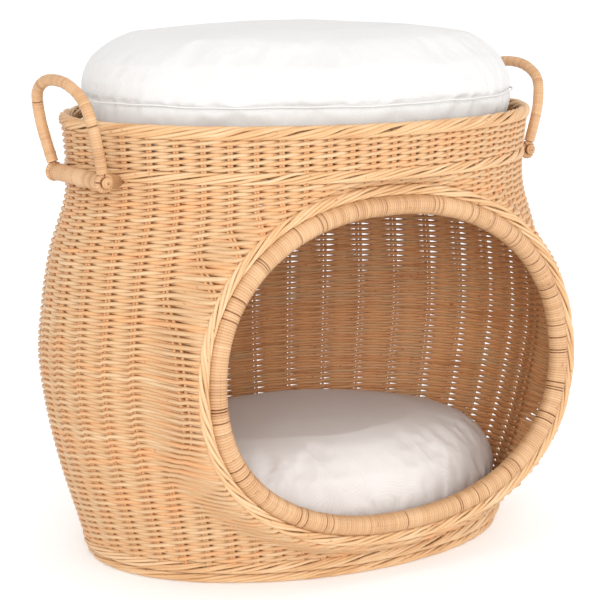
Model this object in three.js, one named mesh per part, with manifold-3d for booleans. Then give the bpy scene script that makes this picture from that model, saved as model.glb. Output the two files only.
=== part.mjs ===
// Wicker pet bed basket: a pot-shaped rattan basket with a cushioned cabin behind a front opening,
// an upper bed with its own cushion inside the collar, and a hinged cane handle at each end.
// Millimetres, +Z up. Origin: centre of the footprint on the floor. The opening faces -Y.
import * as THREE from 'three';
import { mergeVertices } from 'three/addons/utils/BufferGeometryUtils.js';
import Module from 'manifold-3d';

// ---------- driving dimensions ----------
const GAP = 0.3;                    // space kept between touching pieces
const DEPTH_RATIO = 0.695;          // depth of the oval plan over its width
const WALL_THICKNESS = 7.5;         // weavers on both sides of the stakes
const RIM_TOP = 432;

// Half-width of the outer surface of the pot at a few heights: [height, half-width].
const POT_PROFILE = [
  [0, 225.5], [40, 238.5], [95, 256], [150, 269], [200, 275.5], [245, 272.5], [300, 263.5], [358, 246.5],
  [432, 250.5],
];

// Heights where one band of the wall ends and the next begins.
const FOOT_TOP = 10;
const LOWER_WALE_TOP = 22;
const NECK_BOTTOM = 378;
const NECK_TOP = 390;
const RIM_BOTTOM = 419;
const FOOT_THICKNESS = 10;
const LOWER_WALE_THICKNESS = 9;
const LOWER_WALE_PROUD = 1;         // how far each rope band stands out of the weave
const NECK_WALE_PROUD = 1.5;
const RIM_PROUD = 2;                // on both sides of the wall
const ROPE_CORNER = 2.5;            // cut off each corner of a band's section
const RIM_CORNER = 4;
const COLLAR_CORNER = 0.6;

const OPENING_CENTRE_Z = 203;
const OPENING_PLANE_Y = -165;       // the hoop is flat and stands in this plane
const OPENING_TILT = 4.5 * Math.PI / 180;
const HOOP_HALF_WIDTH = 198;        // to the centre of the cane
const HOOP_HALF_HEIGHT = 150;
const HOOP_ROUNDNESS = 0.908;       // 1 is an ellipse; less is squarer
const HOOP_EGG = 0.027;             // how much wider the hoop is below its middle than above
const FLARE = { sideways: 0.1, above: 0.08, below: 0.08 };  // reach of the wall's flare, over the hoop's size
const FLARE_DEPTH = 110;            // the flare fades in over this depth in front of the widest line
const FLARE_LEAD = 2;               // the flared edge ends this far ahead of the hoop's plane
const HOOP_CORE_RADIUS = 7.6;
const HOOP_WRAP_INNER = 8.5;
const HOOP_WRAP_OUTER = 9.6;
const HOOP_WRAP_LENGTHS = 4;
const WRAP_JOINT = 0.004;           // half the space between two lengths of wrap, in radians
const BRAID_RADIUS = 4.2;
const BRAID_OFFSET = HOOP_WRAP_OUTER + GAP + BRAID_RADIUS;
const BRAID_RECESS = 1.5;           // the braid lies this far behind the hoop's plane
const CUT_OFFSET = BRAID_OFFSET + BRAID_RADIUS + GAP;
const CUTTER_AHEAD = 60;            // the opening's cutter, in front of the hoop's plane and behind it
const CUTTER_BEHIND = 120;

const SHELF_HOOP_RADIUS = 5;
const SHELF_HOOP_Z = 380;
const SHELF_PLAY = 2;               // space between the wall and the hoop and panel it holds
const SHELF_THICKNESS = 6;
const FLOOR_THICKNESS = 6;

const HANDLE_X = 253;               // to the bar that each handle turns on
const HANDLE_Z = 379;
const HANDLES = {
  left: { side: -1, y: -12, lean: 11 * Math.PI / 180 },
  right: { side: 1, y: 4, lean: 16 * Math.PI / 180 },
};
const HANDLE_HALF_SPAN = 48.5;      // bar centre to the middle of an eye
const HANDLE_HEIGHT = 90;
const HANDLE_SKEW = 0.13;           // the loop's top leans back by this share of its height
const EYE_RADIUS = 6.6;
// Half of the loop from its eye up: [along the bar over the half-span, distance from the bar].
const HANDLE_KEYS = [[1, EYE_RADIUS], [1.06, 28], [1.08, 50], [0.94, 74], [0.52, 86.5]];
const HANDLE_CORE_RADIUS = 4;
const HANDLE_WRAP_INNER = 4.45;
const HANDLE_WRAP_OUTER = 5.4;
const BAR_RADIUS = 3.5;
const BAR_OVERHANG = 6;             // how far the bar runs past the middle of each eye
const EYE_CANE_RADIUS = 2.7;
const LASHING_RADIUS = 8;
const LASHING_PLAY = 2;             // space between the lashing and each eye
const LASHING_REACH = 20;           // how far above and below the neck the wall shapes the lashing

// Cushion lines from the seam to the axis: [beyond the half-width, above the seam], the axis as null.
const TOP_CUSHION = {
  halfWidth: 232, seam: 447, seamHalf: 3,
  dome: [[0, 3], [2, 16], [-9, 36], [-45, 53], [-115, 61], [null, 63]],
};
const CABIN_CUSHION = {
  halfWidth: 226, seam: 48, bottomInset: 18,
  upper: [[0, 0.5], [-1, 20], [-9, 42], [-34, 60], [-95, 69], [null, 71]],
  lower: [[0, -0.5], [-5, -16]],
  fillingCorner: [-7, -12],
};
const COVER = 1.6;                  // thickness of the cushion covers
const PLAY = 0.6;                   // space between a cover and its filling
const PIPING_RADIUS = 2.2;

const RING_SEGMENTS = 40;
const WALL_SEGMENTS = 60;
const OPENING_SEGMENTS = 56;
const HOOP_SEGMENTS = 48;
const LASHING_WALL_SEGMENTS = 96;
const HANDLE_SEGMENTS = 24;
const BARE_SEGMENTS = 2;            // left without wrap at each end of a loop
const CUSHION_SEGMENTS = 28;

// ---------- materials ----------
const COLOURS = {
  weave: 0xd9ab78, wale: 0xdcae7c, peel: 0xe0b582, cane: 0xc99a66, braid: 0xd6a774,
  whiteCloth: 0xf4f2ef, greyCloth: 0xe0d8d0, fill: 0xf8f6f2,
};

function material(colour, roughness) {
  return new THREE.MeshStandardMaterial({ color: COLOURS[colour], roughness, metalness: 0 });
}

// ---------- the pot's outer surface ----------
const clamp01 = (value) => Math.min(1, Math.max(0, value));
const smooth = (value) => clamp01(value) ** 2 * (3 - 2 * clamp01(value));

// Slope of the pot's profile at key k, from its neighbours.
function profileSlope(k) {
  const before = POT_PROFILE[Math.max(0, k - 1)];
  const after = POT_PROFILE[Math.min(POT_PROFILE.length - 1, k + 1)];
  return (after[1] - before[1]) / (after[0] - before[0]);
}

// Half-width of the pot at a height: a cubic curve through the profile's keys.
function potHalfWidth(z) {
  const last = POT_PROFILE.length - 2;
  const found = POT_PROFILE.findIndex((key) => key[0] > z) - 1;
  const k = Math.min(last, Math.max(0, found < -1 ? last : found));
  const [z0, a0] = POT_PROFILE[k];
  const [z1, a1] = POT_PROFILE[k + 1];
  const span = z1 - z0;
  const t = clamp01((z - z0) / span);
  const rise = (t ** 3 - 2 * t ** 2 + t) * span * profileSlope(k);
  const run = (t ** 3 - t ** 2) * span * profileSlope(k + 1);
  return a0 + (a1 - a0) * t * t * (3 - 2 * t) + rise + run;
}

// Y of the hoop's plane at a height.
const openingPlaneY = (z) => OPENING_PLANE_Y + (z - OPENING_CENTRE_Z) * Math.tan(OPENING_TILT);

// Point on the hoop's centre line at an angle, in the plane of the hoop: X across, Y up.
function hoopPoint(angle) {
  const across = Math.sign(Math.cos(angle)) * Math.abs(Math.cos(angle)) ** HOOP_ROUNDNESS;
  const up = Math.sign(Math.sin(angle)) * Math.abs(Math.sin(angle)) ** HOOP_ROUNDNESS;
  return new THREE.Vector2(HOOP_HALF_WIDTH * across * (1 - HOOP_EGG * up), HOOP_HALF_HEIGHT * up);
}

// The same point moved outward by offset, square to the hoop's line.
function hoopOffset(angle, offset) {
  const step = 0.02;
  const along = hoopPoint(angle + step).sub(hoopPoint(angle - step)).normalize();
  return hoopPoint(angle).add(new THREE.Vector2(along.y, -along.x).multiplyScalar(offset));
}

// How strongly the wall is drawn out to the hoop's plane, from 1 at the hoop to 0 away from it.
function pullToHoop(x, y, z) {
  const power = 2 / HOOP_ROUNDNESS;
  const up = (z - OPENING_CENTRE_Z) / (HOOP_HALF_HEIGHT + CUT_OFFSET);
  const narrowing = 1 - HOOP_EGG * Math.min(1, Math.max(-1, up));
  const across = x / (HOOP_HALF_WIDTH + CUT_OFFSET) / narrowing;
  const distance = (Math.abs(across) ** power + Math.abs(up) ** power) ** (1 / power);
  const sideways = distance > 0 ? across ** 2 / (across ** 2 + up ** 2) : 1;
  const reach = FLARE.sideways * sideways + (up > 0 ? FLARE.above : FLARE.below) * (1 - sideways);
  return (1 - smooth((distance - 1) / reach)) * smooth(-y / FLARE_DEPTH);
}

// Point of the wall's outer surface, moved inward by inset, at an angle round the oval.
function wallPoint(angle, z, inset) {
  const a = potHalfWidth(z);
  const b = a * DEPTH_RATIO;
  const x = a * Math.cos(angle);
  const y = b * Math.sin(angle);
  const normal = new THREE.Vector2(x / (a * a), y / (b * b)).normalize();
  const pull = pullToHoop(x, y, z);
  const front = y + (openingPlaneY(z) - FLARE_LEAD - y) * pull;
  return new THREE.Vector3(x - normal.x * inset, front - normal.y * inset, z);
}

// ---------- booleans ----------
const wasm = await Module();
wasm.setup();

function toSolid(geometry) {
  const corners = geometry.index ? geometry.toNonIndexed() : geometry.clone();
  corners.deleteAttribute('normal');
  corners.deleteAttribute('uv');
  const merged = mergeVertices(corners, 1e-4);
  const mesh = new wasm.Mesh({
    numProp: 3,
    vertProperties: new Float32Array(merged.attributes.position.array),
    triVerts: new Uint32Array(merged.index.array),
  });
  return new wasm.Manifold(mesh);
}

function toGeometry(solid) {
  const mesh = solid.getMesh();
  const geometry = new THREE.BufferGeometry();
  geometry.setAttribute('position', new THREE.BufferAttribute(new Float32Array(mesh.vertProperties), 3));
  geometry.setIndex(new THREE.BufferAttribute(new Uint32Array(mesh.triVerts), 1));
  geometry.computeVertexNormals();
  return geometry;
}

// ---------- shape helpers ----------
const MOULD = 1000;                 // radius of the straight ring that bend() lays on its final form

// A closed section [offset, height] turned into a ring, then laid on a form by place(angle, offset, height).
function bendRing(section, segments, place) {
  const points = section.map(([offset, height]) => new THREE.Vector2(MOULD + offset, height));
  points.push(points[0].clone());
  const geometry = new THREE.LatheGeometry(points, segments);
  const position = geometry.attributes.position;
  for (let i = 0; i < position.count; i += 1) {
    const x = position.getX(i);
    const side = -position.getZ(i);
    const placed = place(Math.atan2(side, x), Math.hypot(x, side) - MOULD, position.getY(i));
    position.setXYZ(i, placed.x, placed.y, placed.z);
  }
  geometry.computeVertexNormals();
  return geometry;
}

// A ring that follows the wall: section points are [outward of the wall's surface, height].
function wallRing(section, segments = RING_SEGMENTS) {
  return bendRing(section, segments, (angle, offset, height) => wallPoint(angle, height, -offset));
}

function roundSection(radius, sides, offset = 0, height = 0) {
  return Array.from({ length: sides }, (_, i) => {
    const turn = (i + 0.5) * 2 * Math.PI / sides;
    return [offset + radius * Math.cos(turn), height + radius * Math.sin(turn)];
  });
}

// Rectangle with its four corners cut, between two offsets and two heights.
function bandSection(inner, outer, bottom, top, corner) {
  return [
    [inner, bottom + corner], [inner + corner, bottom], [outer - corner, bottom], [outer, bottom + corner],
    [outer, top - corner], [outer - corner, top], [inner + corner, top], [inner, top - corner],
  ];
}

// A solid of revolution squeezed to the oval plan, from a profile that starts and ends on the axis.
function ovalSolid(profile, segments = CUSHION_SEGMENTS) {
  const geometry = new THREE.LatheGeometry(profile.map(([r, z]) => new THREE.Vector2(r, z)), segments);
  geometry.rotateX(Math.PI / 2);
  geometry.scale(1, DEPTH_RATIO, 1);
  return geometry;
}

// A ring squeezed to the oval plan, from a section [radius, height] that closes on itself.
function ovalRing(section, segments = CUSHION_SEGMENTS) {
  return ovalSolid([...section, section[0]], segments);
}

// An oval plate whose rim keeps the same distance from the wall all round.
function insetOval(profile) {
  const geometry = new THREE.LatheGeometry(profile.map(([r, z]) => new THREE.Vector2(r, z)), RING_SEGMENTS);
  geometry.rotateX(Math.PI / 2);
  const position = geometry.attributes.position;
  const edge = Math.max(...profile.map(([r]) => r));
  for (let i = 0; i < position.count; i += 1) {
    const x = position.getX(i);
    const y = position.getY(i);
    const z = position.getZ(i);
    const inset = potHalfWidth(z) - edge;
    const onEdge = wallPoint(Math.atan2(y, x), z, inset);
    const reach = Math.hypot(x, y) / edge;
    position.setXY(i, onEdge.x * reach, onEdge.y * reach);
  }
  return geometry;
}

class HoopArc extends THREE.Curve {
  constructor(start, end) {
    super();
    Object.assign(this, { start, end });
  }

  getPoint(t, target = new THREE.Vector3()) {
    const point = hoopPoint(this.start + (this.end - this.start) * t);
    return target.set(point.x, point.y, 0);
  }
}

class PartOfCurve extends THREE.Curve {
  constructor(base, start, end) {
    super();
    Object.assign(this, { base, start, end });
  }

  getPoint(t, target = new THREE.Vector3()) {
    return target.copy(this.base.getPointAt(this.start + (this.end - this.start) * t));
  }
}

function circleShape(radius, holeRadius = 0) {
  const shape = new THREE.Shape().absarc(0, 0, radius, 0, 2 * Math.PI);
  if (holeRadius > 0) {
    shape.holes.push(new THREE.Path().absarc(0, 0, holeRadius, 0, 2 * Math.PI, true));
  }
  return shape;
}

function tubeAlong(path, radius, steps, holeRadius = 0) {
  const settings = { steps, curveSegments: 5, extrudePath: path };
  return new THREE.ExtrudeGeometry(circleShape(radius, holeRadius), settings);
}

// ---------- assembly ----------
const basket = new THREE.Group();

function add(name, geometry, surface, parent = basket) {
  const mesh = new THREE.Mesh(geometry, surface);
  mesh.name = name;
  parent.add(mesh);
  return mesh;
}

// ---------- woven structure ----------
function buildWovenBands() {
  const foot = bandSection(-FOOT_THICKNESS, 0, 0, FOOT_TOP - GAP, ROPE_CORNER);
  add('foot_border', wallRing(foot), material('wale', 0.6));
  const lowerTop = LOWER_WALE_TOP - GAP;
  const lowerWale = bandSection(-LOWER_WALE_THICKNESS, LOWER_WALE_PROUD, FOOT_TOP, lowerTop, ROPE_CORNER);
  add('lower_wale', wallRing(lowerWale), material('wale', 0.6));
  const neckWale = bandSection(-WALL_THICKNESS, NECK_WALE_PROUD, NECK_BOTTOM, NECK_TOP - GAP, ROPE_CORNER);
  add('neck_wale', wallRing(neckWale), material('wale', 0.6));
  const collar = bandSection(-WALL_THICKNESS, 0, NECK_TOP, RIM_BOTTOM - GAP, COLLAR_CORNER);
  add('collar_wall', wallRing(collar), material('weave', 0.65));
  const rim = bandSection(-WALL_THICKNESS - RIM_PROUD, RIM_PROUD, RIM_BOTTOM, RIM_TOP, RIM_CORNER);
  add('rim_border', wallRing(rim), material('wale', 0.6));
}

function buildBodyWall() {
  const top = NECK_BOTTOM - GAP;
  const heights = [LOWER_WALE_TOP, 45, 80, 120, 160, 200, 245, 290, 325, 350, 366, top];
  const outside = heights.map((z) => [0, z]);
  const inside = heights.map((z) => [-WALL_THICKNESS, z]).reverse();
  const pot = toSolid(wallRing([...outside, ...inside], WALL_SEGMENTS));
  const step = 2 * Math.PI / OPENING_SEGMENTS;
  const outline = Array.from({ length: OPENING_SEGMENTS }, (_, i) => hoopOffset(i * step, CUT_OFFSET));
  const settings = { depth: CUTTER_AHEAD + CUTTER_BEHIND, bevelEnabled: false };
  const cutter = new THREE.ExtrudeGeometry(new THREE.Shape(outline), settings);
  cutter.translate(0, 0, -CUTTER_BEHIND);
  cutter.rotateX(Math.PI / 2 - OPENING_TILT);
  cutter.translate(0, OPENING_PLANE_Y, OPENING_CENTRE_Z);
  add('body_wall', toGeometry(pot.subtract(toSolid(cutter))), material('weave', 0.65));
}

function buildFloors() {
  const floorEdge = potHalfWidth(FOOT_TOP) - LOWER_WALE_THICKNESS - 2 * GAP;
  const floorProfile = [
    [0, FOOT_TOP], [floorEdge, FOOT_TOP],
    [floorEdge, FOOT_TOP + FLOOR_THICKNESS], [0, FOOT_TOP + FLOOR_THICKNESS],
  ];
  add('base_floor', insetOval(floorProfile), material('weave', 0.7));
  const shelfInset = WALL_THICKNESS + SHELF_PLAY + SHELF_HOOP_RADIUS;
  const hoopSection = roundSection(SHELF_HOOP_RADIUS, 6, -shelfInset, SHELF_HOOP_Z);
  add('shelf_hoop', wallRing(hoopSection), material('cane', 0.5));
  const shelfBottom = SHELF_HOOP_Z + SHELF_HOOP_RADIUS + GAP;
  const shelfEdge = potHalfWidth(shelfBottom) - WALL_THICKNESS - SHELF_PLAY;
  const shelfProfile = [
    [0, shelfBottom], [shelfEdge, shelfBottom],
    [shelfEdge, shelfBottom + SHELF_THICKNESS], [0, shelfBottom + SHELF_THICKNESS],
  ];
  add('shelf_panel', insetOval(shelfProfile), material('weave', 0.7));
}

// ---------- front opening ----------
function placeInOpening(mesh, forward = 0) {
  mesh.rotation.x = Math.PI / 2 - OPENING_TILT;
  mesh.position.set(0, OPENING_PLANE_Y - forward, OPENING_CENTRE_Z);
}

// Lays a ring's section on the hoop's line: offset outward in the plane, height out of the plane.
function placeOnHoop(angle, offset, height) {
  const point = hoopOffset(angle, offset);
  return new THREE.Vector3(point.x, point.y, height);
}

function buildOpening() {
  const core = bendRing(roundSection(HOOP_CORE_RADIUS, 8), HOOP_SEGMENTS, placeOnHoop);
  placeInOpening(add('opening_hoop_core', core, material('cane', 0.5)));
  const braid = bendRing(roundSection(BRAID_RADIUS, 6, BRAID_OFFSET), HOOP_SEGMENTS, placeOnHoop);
  placeInOpening(add('opening_braid', braid, material('braid', 0.6)), -BRAID_RECESS);
  const share = 2 * Math.PI / HOOP_WRAP_LENGTHS;
  const steps = HOOP_SEGMENTS / HOOP_WRAP_LENGTHS;
  for (let k = 0; k < HOOP_WRAP_LENGTHS; k += 1) {
    const arc = new HoopArc((k + 0.5) * share + WRAP_JOINT, (k + 1.5) * share - WRAP_JOINT);
    const wrap = tubeAlong(arc, HOOP_WRAP_OUTER, steps, HOOP_WRAP_INNER);
    placeInOpening(add(`opening_hoop_wrap_${k + 1}`, wrap, material('peel', 0.5)));
  }
}

// ---------- handles ----------
// The bent cane in its own plane: X along the bar, Y away from it.
function handleCurve() {
  const place = (x, y) => new THREE.Vector3(x * HANDLE_HALF_SPAN + HANDLE_SKEW * (y - EYE_RADIUS), y, 0);
  const side = HANDLE_KEYS.map(([x, y]) => place(x, y));
  const other = HANDLE_KEYS.map(([x, y]) => place(-x, y)).reverse();
  return new THREE.CatmullRomCurve3([...side, place(0, HANDLE_HEIGHT), ...other]);
}

function buildHandleLoop() {
  let loop = toSolid(tubeAlong(handleCurve(), HANDLE_CORE_RADIUS, HANDLE_SEGMENTS));
  for (const side of [-1, 1]) {
    const eye = new THREE.TorusGeometry(EYE_RADIUS, EYE_CANE_RADIUS, 6, 14);
    eye.rotateY(Math.PI / 2);
    eye.translate(side * HANDLE_HALF_SPAN, 0, 0);
    loop = loop.add(toSolid(eye));
  }
  const bore = new THREE.CylinderGeometry(BAR_RADIUS + GAP, BAR_RADIUS + GAP, 4 * HANDLE_HALF_SPAN, 14);
  bore.rotateZ(Math.PI / 2);
  return toGeometry(loop.subtract(toSolid(bore)));
}

function barAt(side, y, radius, length) {
  const bar = new THREE.CylinderGeometry(radius, radius, length, 14);
  return bar.translate(side * HANDLE_X, y, HANDLE_Z);
}

// The peel roll that binds the bar to the wall, cut on its inner side to the wall's shape.
function buildLashing(side, y) {
  const length = 2 * (HANDLE_HALF_SPAN - EYE_CANE_RADIUS - LASHING_PLAY);
  const roll = toSolid(barAt(side, y, LASHING_RADIUS, length));
  const bore = toSolid(barAt(side, y, BAR_RADIUS + GAP, 2 * length));
  const [low, high] = [NECK_BOTTOM - LASHING_REACH, NECK_TOP + LASHING_REACH];
  const wall = bandSection(-HANDLE_X / 2, NECK_WALE_PROUD + GAP, low, high, 1);
  return toGeometry(roll.subtract(bore).subtract(toSolid(wallRing(wall, LASHING_WALL_SEGMENTS))));
}

function buildHandle(name, { side, y, lean }) {
  const along = new THREE.Vector3(0, 1, 0);
  const away = new THREE.Vector3(side * Math.sin(lean), 0, Math.cos(lean));
  const frame = new THREE.Matrix4().makeBasis(along, away, along.clone().cross(away));
  const pivot = new THREE.Group();
  pivot.position.set(side * HANDLE_X, y, HANDLE_Z);
  pivot.quaternion.setFromRotationMatrix(frame);
  basket.add(pivot);
  add(`${name}_handle_loop`, buildHandleLoop(), material('cane', 0.5), pivot);
  const bare = BARE_SEGMENTS / HANDLE_SEGMENTS;
  const wrapped = new PartOfCurve(handleCurve(), bare, 1 - bare);
  const wrap = tubeAlong(wrapped, HANDLE_WRAP_OUTER, HANDLE_SEGMENTS - 2 * BARE_SEGMENTS, HANDLE_WRAP_INNER);
  add(`${name}_handle_wrap`, wrap, material('peel', 0.5), pivot);
  const bar = barAt(side, y, BAR_RADIUS, 2 * (HANDLE_HALF_SPAN + BAR_OVERHANG));
  add(`${name}_handle_bar`, bar, material('cane', 0.5));
  add(`${name}_handle_lashing`, buildLashing(side, y), material('peel', 0.5));
}

// ---------- cushions ----------
// A cushion's line in [radius, height], from keys measured from its half-width and seam.
function cushionLine(keys, { halfWidth, seam }) {
  return keys.map(([beyond, above]) => [beyond === null ? 0 : halfWidth + beyond, seam + above]);
}

// A cover's cloth between its outer line and the same line moved inward; both end on the axis.
function coverProfile(outer, away) {
  const inner = outer.map(([r, z], i) => [Math.max(0, r - COVER), i ? z + away * COVER : z]);
  return away < 0 ? [...inner.reverse(), ...outer] : [...outer.slice().reverse(), ...inner];
}

// The filling's side line: the cover's line moved inward, from the seam to the axis.
function fillingLine(outer, inset) {
  return outer.map(([r, z], i) => [Math.max(0, r - inset), i ? z - inset : z + PIPING_RADIUS]);
}

function buildTopCushion() {
  const { halfWidth: half, seam, seamHalf } = TOP_CUSHION;
  const cloth = material('whiteCloth', 0.9);
  const base = SHELF_HOOP_Z + SHELF_HOOP_RADIUS + SHELF_THICKNESS + 2 * GAP;
  const dome = cushionLine(TOP_CUSHION.dome, TOP_CUSHION);
  add('top_cushion_top_panel', ovalSolid(coverProfile(dome, -1)), cloth);
  const bottomTop = base + COVER;
  const bottom = [[0, base], [half, base], [half, bottomTop], [0, bottomTop]];
  add('top_cushion_bottom_panel', ovalSolid(bottom), cloth);
  const bandBottom = bottomTop + PLAY;
  const bandTop = seam - seamHalf;
  const inner = half - COVER;
  const band = [[inner, bandBottom], [half, bandBottom], [half, bandTop], [inner, bandTop]];
  add('top_cushion_side_band', ovalRing(band), cloth);
  add('top_cushion_piping', ovalRing(roundSection(PIPING_RADIUS, 4, half, seam)), cloth);
  const inset = COVER + PLAY + PIPING_RADIUS;
  const stuffing = [[0, bandBottom], [half - inset, bandBottom], ...fillingLine(dome, inset)];
  add('top_cushion_filling', ovalSolid(stuffing), material('fill', 0.95));
}

function buildCabinCushion() {
  const { halfWidth: half, seam, bottomInset, fillingCorner: corner } = CABIN_CUSHION;
  const cloth = material('greyCloth', 0.9);
  const base = FOOT_TOP + FLOOR_THICKNESS + GAP;
  const upper = cushionLine(CABIN_CUSHION.upper, CABIN_CUSHION);
  const lower = [...cushionLine(CABIN_CUSHION.lower, CABIN_CUSHION), [half - bottomInset, base], [0, base]];
  add('cabin_cushion_top_panel', ovalSolid(coverProfile(upper, -1)), cloth);
  add('cabin_cushion_bottom_panel', ovalSolid(coverProfile(lower, 1)), cloth);
  const inset = COVER + PLAY + 1;
  const bottom = base + COVER + PLAY;
  const stuffing = [[0, bottom], [half - bottomInset - inset, bottom],
    [half + corner[0] - inset, seam + corner[1]], ...fillingLine(upper, inset)];
  add('cabin_cushion_filling', ovalSolid(stuffing), material('fill', 0.95));
}

buildWovenBands();
buildBodyWall();
buildFloors();
buildOpening();
Object.entries(HANDLES).forEach(([name, handle]) => buildHandle(name, handle));
buildTopCushion();
buildCabinCushion();

export default basket;
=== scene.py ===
"""Wicker pet bed basket: the looks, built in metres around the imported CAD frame.

Every weaver, stake, rope rod and turn of peel is real geometry laid on the pot's surface, which is
the same formula as the CAD wall's. The cushions are inflated with a short cloth simulation.
"""
import math

import bpy
import numpy as np
from mathutils import Matrix, Vector


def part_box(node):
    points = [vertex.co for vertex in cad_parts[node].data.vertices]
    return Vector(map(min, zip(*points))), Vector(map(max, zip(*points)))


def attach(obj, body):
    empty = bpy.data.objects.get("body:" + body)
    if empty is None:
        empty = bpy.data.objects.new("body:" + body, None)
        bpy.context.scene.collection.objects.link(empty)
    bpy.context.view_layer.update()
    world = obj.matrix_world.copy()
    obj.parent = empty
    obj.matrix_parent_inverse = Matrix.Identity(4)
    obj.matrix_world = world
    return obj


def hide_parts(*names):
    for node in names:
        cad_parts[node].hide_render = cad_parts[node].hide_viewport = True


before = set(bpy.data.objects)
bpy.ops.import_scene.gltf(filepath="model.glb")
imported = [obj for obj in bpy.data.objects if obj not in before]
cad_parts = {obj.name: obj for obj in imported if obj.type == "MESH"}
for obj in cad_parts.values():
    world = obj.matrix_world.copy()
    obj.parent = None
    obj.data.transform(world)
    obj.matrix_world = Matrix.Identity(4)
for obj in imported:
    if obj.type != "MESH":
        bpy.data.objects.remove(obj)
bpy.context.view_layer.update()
rng = np.random.default_rng(20)

# ---------- driving dimensions (metres) ----------
MM = 0.001
DEPTH_RATIO = 0.695
WALL_THICKNESS = 7.5 * MM
POT_HEIGHTS = np.array([0, 40, 95, 150, 200, 245, 300, 358, 432]) * MM
POT_HALF_WIDTHS = np.array([225.5, 238.5, 256, 269, 275.5, 272.5, 263.5, 246.5, 250.5]) * MM

# bands of the wall, as heights of their lower and upper edges
LOWER_WALE = (10 * MM, 22 * MM)
NECK_WALE = (378 * MM, 390 * MM)
RIM_BOTTOM = 419 * MM

# the front opening: an egg-shaped hoop in a plane that leans back, and the wall drawn out to it
OPENING_Z = 203 * MM
OPENING_Y = -165 * MM
OPENING_TILT = math.radians(4.5)
HOOP_HALF_WIDTH = 198 * MM
HOOP_HALF_HEIGHT = 150 * MM
HOOP_ROUNDNESS = 0.908
HOOP_EGG = 0.027
FLARE_SIDEWAYS, FLARE_ABOVE, FLARE_BELOW = 0.1, 0.08, 0.08
FLARE_DEPTH = 110 * MM
HOOP_RADIUS = 9.6 * MM
BRAID_OFFSET = 14.1 * MM
CUT_OFFSET = 18.6 * MM

# the handles: each one's side, middle along the wall, and outward lean at rest
HANDLE_X = 253 * MM
HANDLE_Z = 379 * MM
HANDLES = {"left": (-1, -12 * MM, math.radians(11)), "right": (1, 4 * MM, math.radians(16))}
HANDLE_HALF_SPAN = 48.5 * MM
HANDLE_HEIGHT = 90 * MM
HANDLE_SKEW = 0.13
HANDLE_RADIUS = 5.4 * MM
BAR_OVERHANG = 6 * MM
EYE_RADIUS = 6.6 * MM
LASHING_RADIUS = 8 * MM
LASHING_END = 5 * MM            # from the middle of an eye to the roll's end
LASHING_BITE = 3 * MM           # how far the roll's inner side goes into the wall

# the weave
STAKE_PAIRS = 46
STAKE_SPACING = 30 * MM
STAKE_RADIUS = 1.6 * MM
STAKE_SPREAD = 1.65 * MM
STAKE_CROWDING = 0.26
BODY_PITCH = 5.93 * MM
COLLAR_PITCH = 5.84 * MM
STRAND_SWING = 1.85 * MM
# a strand's radius as a share of the pitch in a tight weave, and what full slack adds to it
STRAND_SHARE, SLACK_SHARE = 0.338, 0.012
# the exponent of a strand's lift in a tight weave, and what full slack adds to it
TIGHT_SWAP, SLACK_SWAP = 0.18, 2.3
ROUND_UNEVENNESS = 0.1 * MM
BODY_NECK_SLACK, BODY_BACK_SLACK = 0.35, 0.6
BODY_LOW_SLACK, BODY_RIGHT_SLACK, BODY_PATCH_SLACK = 0.4, 0.2, 0.3
COLLAR_SLACK = 0.75
STRAND_TONE, STAKE_TONE, TONE_SPREAD = 0.56, 0.45, 0.08
# painted light on each wall strand's outer side and painted shade on its inner side, as a step of
# tone
WEAVE_PAINTED_LIGHT_SHADE = 0.15

# each rope: its half-extents outward and up, its rods, their turns in one round and a rod's radius
WALE_ROPE = ((5.0 * MM, 6.2 * MM), 8, 8, 1.7 * MM)
RIM_ROPE = ((5.9 * MM, 6.8 * MM), 9, 9, 1.9 * MM)
FOOT_ROPE = ((5.2 * MM, 5.0 * MM), 7, 8, 1.8 * MM)
OPENING_ROPE = ((5.6 * MM, 4.6 * MM), 6, 12, 1.85 * MM)
RIM_ROPE_Z = 425.2 * MM
FOOT_ROPE_Z = 5.0 * MM
FOOT_ROPE_INSET = 5.0 * MM
OPENING_ROPE_FORWARD = 1.2 * MM
ROD_PAIRING = 0.16              # how much nearer every second rod lies to the one before
ROD_WANDER, ROD_DIP = 0.16, 0.07

# the peel: its turns on each tube, and its depth across one turn, from the groove
HOOP_TURNS, HANDLE_TURNS, EYE_TURNS, LASHING_TURNS = 440, 96, 18, 34
PEEL_SHAPE = np.array([1.0, 0.16, 0.0, 0.16])
# how much deeper an opened gap is, and how much darker; the darkening is painted shade
PEEL_GAP_DEPTH, PEEL_GAP_SHADE = 1.6 * MM, 0.7
EYE_PEEL_RADIUS = 2.9 * MM

# the mats
CORE_SHARE = 0.36               # how much of a mat its straight crossed sticks take up
MAT_WEAVER_RADIUS, MAT_STICK_RADIUS = 1.3 * MM, 1.6 * MM
MAT_ROW_WIDTH = 3.3 * MM

# the cushions
INFLATION_VOXEL, QUICK_VOXEL = 5 * MM, 6 * MM
INFLATION_PRESSURE = 4.0
INFLATION_STEPS = 20
CUSHION_CAP = 6 * MM            # the furthest that inflating moves a point
SEAM_WIDTH, GATHER_REACH = 3.2 * MM, 16 * MM
DIMPLES = ((34, 0.9 * MM), (85, 0.28 * MM))     # radians of wave in a metre, and height
SIDE_WAVES = (40, 0.6 * MM)

# the camera and the light
CAMERA_AZIMUTH = math.radians(33.84)
CAMERA_ELEVATION = math.radians(10.91)
CAMERA_ROLL = math.radians(0.59)
CAMERA_DISTANCE = 2.049
CAMERA_TARGET = (-0.12 * MM, 237.2 * MM)
CAMERA_LENS = 122.664           # millimetres, on a sensor of 36 mm
SENSOR_WIDTH = 36
KEY_LIGHT = ((-1.5, -2.3, 1.1), 1.4, 36)        # place, width and watts
FILL_LIGHT = ((1.9, -1.7, 0.9), 1.6, 11)
LIGHT_TARGET = (0, 0, 0.2)
WORLD_STRENGTH = 1.07
FLOOR_REACH = 6.0
FLOOR_GREY, FLOOR_GLOW = 0.74, 0.3


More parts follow.
